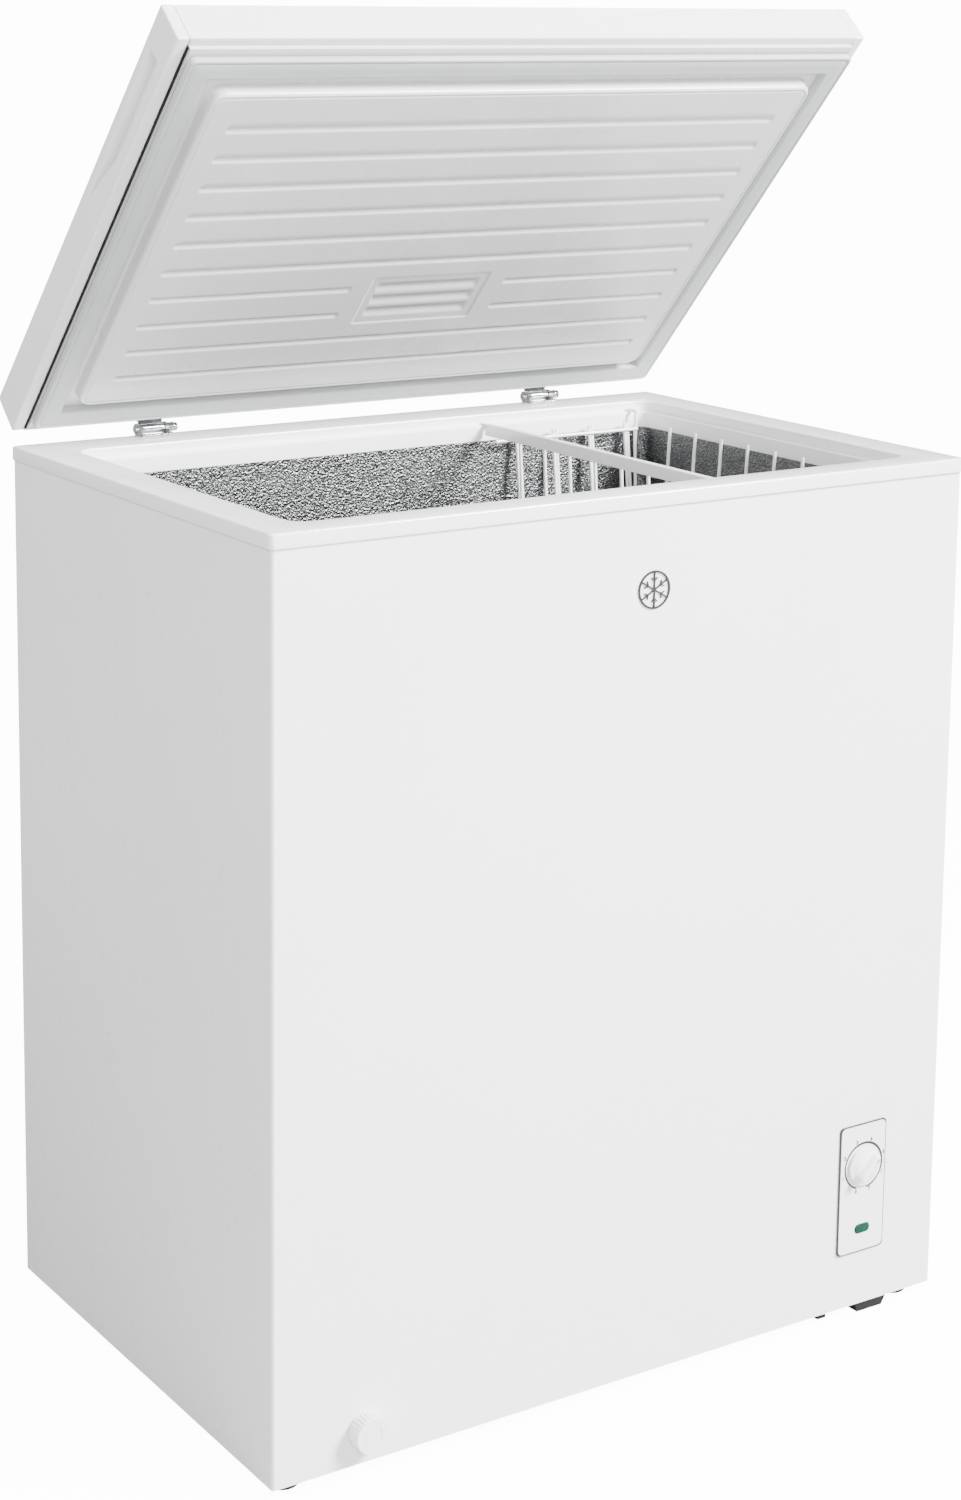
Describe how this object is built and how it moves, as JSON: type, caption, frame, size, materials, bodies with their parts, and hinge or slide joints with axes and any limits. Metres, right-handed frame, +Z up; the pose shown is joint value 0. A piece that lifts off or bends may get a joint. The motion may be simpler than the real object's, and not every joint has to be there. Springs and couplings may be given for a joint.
{
  "type": "chest freezer",
  "caption": "Small white chest freezer with a hinged foam-filled lid held open, a ribbed inner lid, a stucco-metal well, a hanging wire basket and a front dial panel.",
  "frame": {"origin": "on the floor, under the middle of the freezer as it stands with its lid open", "axes": "+X to the right seen from the front, +Y to the back, +Z up; the front with the dial faces -Y"},
  "size_m": [0.7348, 0.5382, 1.2325],
  "materials": {
    "white_enamel": "smooth semi-gloss white enamel on steel sheet",
    "grey_coating": "plain zinc-grey coating on steel sheet",
    "dark_paint": "satin black paint",
    "plate_steel": "dull galvanised steel",
    "gloss_white_plastic": "moulded gloss white plastic",
    "white_plastic": "moulded satin white plastic",
    "grey_plastic": "moulded light grey plastic",
    "black_plastic": "moulded black plastic",
    "lid_liner_plastic": "vacuum-formed pale grey plastic with soft gloss",
    "gasket_vinyl": "soft grey-white magnetic vinyl",
    "embossed_aluminium": "bright embossed stucco aluminium",
    "foam": "rigid foamed polyurethane",
    "copper": "drawn copper tube",
    "steel_tube": "dark coated steel tube",
    "hinge_steel": "bright zinc-plated steel",
    "black_rubber": "black moulded rubber",
    "lamp_green": "clear green lamp lens",
    "wire_insulation": "blue wire insulation",
    "basket_coating": "smooth white plastic coating over wire",
    "emblem_grey": "grey plastic"
  },
  "bodies": {
    "cabinet": {"cabinet_wrap": "white_enamel", "rear_panel": "grey_coating", "bottom_panel": "grey_coating", "bay_partition": "grey_coating", "rear_bay_cover": "grey_coating", "bay_cover_screws": "hinge_steel", "side_vent_grille": "white_plastic", "compressor_base_plate": "dark_paint", "leveling_feet": "black_plastic", "top_collar": "gloss_white_plastic", "throat_frame": "white_plastic", "inner_liner": "embossed_aluminium", "foam_left": "foam", "foam_right": "foam", "foam_front": "foam", "foam_rear": "foam", "foam_floor": "foam", "foam_step": "foam", "evaporator_coil": "steel_tube", "condenser_coil": "steel_tube", "compressor": "dark_paint", "compressor_grommets": "black_rubber", "compressor_bolts": "hinge_steel", "start_relay_cover": "black_plastic", "filter_drier": "copper", "suction_tube": "copper", "discharge_tube": "copper", "thermostat_body": "plate_steel", "control_panel_plate": "white_plastic", "pilot_lamp": "lamp_green", "wiring_harness": "wire_insulation", "cord_gland": "black_plastic", "drain_tube": "white_plastic", "drain_flange": "white_plastic", "front_emblem": "emblem_grey", "hinge_base_left": "hinge_steel", "hinge_base_right": "hinge_steel", "hinge_pins": "hinge_steel", "hinge_springs": "hinge_steel", "hinge_base_screws": "hinge_steel"},
    "lid": {"lid_outer_shell": "white_enamel", "lid_trim_left": "white_plastic", "lid_trim_right": "white_plastic", "lid_foam": "foam", "lid_inner_liner": "lid_liner_plastic", "lid_gasket": "gasket_vinyl", "hinge_leaf_left": "hinge_steel", "hinge_leaf_right": "hinge_steel", "hinge_leaf_screws": "hinge_steel"},
    "basket": {"basket_rail": "basket_coating", "basket_left_wires": "basket_coating", "basket_right_wires": "basket_coating", "basket_rear_wires": "basket_coating", "basket_front_wires": "basket_coating", "basket_floor_wires": "basket_coating"},
    "knob": {"thermostat_knob": "white_plastic"},
    "spout": {"drain_spout": "white_plastic"},
    "cap": {"drain_cap": "white_plastic"},
    "plug": {"floor_drain_plug": "grey_plastic"}
  },
  "joints": [
    {"name": "lid_hinge", "type": "hinge", "parent": "cabinet", "child": "lid", "pos_m": [0, 0.238, 0.8295], "axis": [-1, 0, 0], "range_deg": [-47.4, 32.6]},
    {"name": "basket_slide", "type": "slide", "parent": "cabinet", "child": "basket", "axis": [-1, 0, 0], "range_m": [0, 0.43]},
    {"name": "thermostat_turn", "type": "hinge", "parent": "cabinet", "child": "knob", "pos_m": [0.2733, -0.252, 0.1523], "axis": [0, 1, 0], "range_deg": [-202, 120]},
    {"name": "drain_spout_slide", "type": "slide", "parent": "cabinet", "child": "spout", "axis": [0, -1, 0], "range_m": [0, 0.025]},
    {"name": "drain_cap_turn", "type": "hinge", "parent": "spout", "child": "cap", "pos_m": [-0.276, -0.252, 0.0425], "axis": [0, -1, 0], "range_deg": [0, 180]},
    {"name": "floor_plug_lift", "type": "slide", "parent": "cabinet", "child": "plug", "axis": [0, 0, 1], "range_m": [0, 0.04]}
  ]
}
